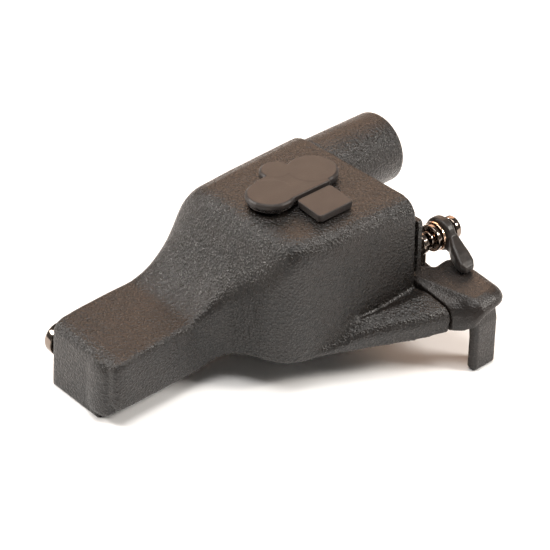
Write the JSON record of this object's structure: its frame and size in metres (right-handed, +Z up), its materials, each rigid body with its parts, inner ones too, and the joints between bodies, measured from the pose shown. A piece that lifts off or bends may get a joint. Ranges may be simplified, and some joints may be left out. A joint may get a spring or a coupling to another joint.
{
  "type": "two-way radio side-connector audio adapter",
  "caption": "Moulded adapter with a low nose, a tall block, a round socket barrel, a capped pair of jacks and a hooked clamp foot with a lever latch.",
  "frame": {"origin": "centre of the contact block's lower face, which seats on the radio", "axes": "+X from the nose to the socket barrel, +Y to the side with the nose screw, +Z up out of the radio's side"},
  "size_m": [0.0648, 0.0447, 0.0285],
  "materials": {
    "shell_black": "leather-grain moulded black plastic with a soft shine",
    "foot_black": "fine-grain moulded black plastic",
    "cap_rubber": "dull warm-black moulded rubber",
    "lever_rubber": "dull black rubber with a faint shine",
    "dark_chrome": "dark polished plating",
    "bright_ring": "bright coppery ring",
    "gold_contact": "gold-plated contact",
    "steel_screw": "plain small fasteners",
    "board_green": "green circuit laminate",
    "insert_grey": "dark grey insulating plastic"
  },
  "bodies": {
    "shell": {"barrel": "shell_black", "barrel_seal": "cap_rubber", "base_plate": "shell_black", "base_screw_1": "steel_screw", "base_screw_2": "steel_screw", "base_screw_3": "steel_screw", "base_screw_4": "steel_screw", "board_screw_1": "steel_screw", "board_screw_2": "steel_screw", "cap_anchor": "cap_rubber", "circuit_board": "board_green", "contact_block": "foot_black", "contact_pin_1": "gold_contact", "contact_pin_2": "gold_contact", "contact_pin_3": "gold_contact", "contact_pin_4": "gold_contact", "contact_pin_5": "gold_contact", "contact_pin_6": "gold_contact", "contact_pin_7": "gold_contact", "contact_pin_8": "gold_contact", "ear_jack_large": "insert_grey", "ear_jack_large_base": "gold_contact", "ear_jack_small": "insert_grey", "ear_jack_small_base": "gold_contact", "housing": "shell_black", "latch_plate": "shell_black", "latch_plate_screw_1": "steel_screw", "latch_plate_screw_2": "steel_screw", "nose_plate": "shell_black", "nose_screw_nut": "steel_screw", "nose_screw_washer": "steel_screw", "socket_insert": "insert_grey", "socket_pin_1": "gold_contact", "socket_pin_2": "gold_contact", "socket_pin_3": "gold_contact", "socket_pin_4": "gold_contact", "socket_pin_5": "gold_contact", "socket_pin_6": "gold_contact"},
    "cap": {"dust_cap": "cap_rubber"},
    "foot": {"clamp_foot": "foot_black", "latch_post": "dark_chrome"},
    "latch": {"latch_shaft": "dark_chrome", "latch_nut": "steel_screw", "latch_collar": "dark_chrome", "latch_cup": "dark_chrome", "latch_bush": "bright_ring", "latch_lever": "lever_rubber", "latch_end": "dark_chrome"},
    "nose_knob": {"nose_screw": "dark_chrome"}
  },
  "joints": [
    {"name": "cap_lift", "type": "hinge", "parent": "shell", "child": "cap", "pos_m": [-0.002, -0.00595, 0.0285], "axis": [1, 0, 0], "range_deg": [0, 100]},
    {"name": "foot_slide", "type": "slide", "parent": "shell", "child": "foot", "axis": [1, 0, 0], "range_m": [0, 0.0026]},
    {"name": "lever_swing", "type": "hinge", "parent": "foot", "child": "latch", "pos_m": [0.013, -0.0146, 0.0164], "axis": [-1, 0, 0], "range_deg": [0, 180]},
    {"name": "nose_screw_turn", "type": "hinge", "parent": "shell", "child": "nose_knob", "pos_m": [-0.0355, 0.0136, 0.0058], "axis": [0, 1, 0], "continuous": true}
  ]
}
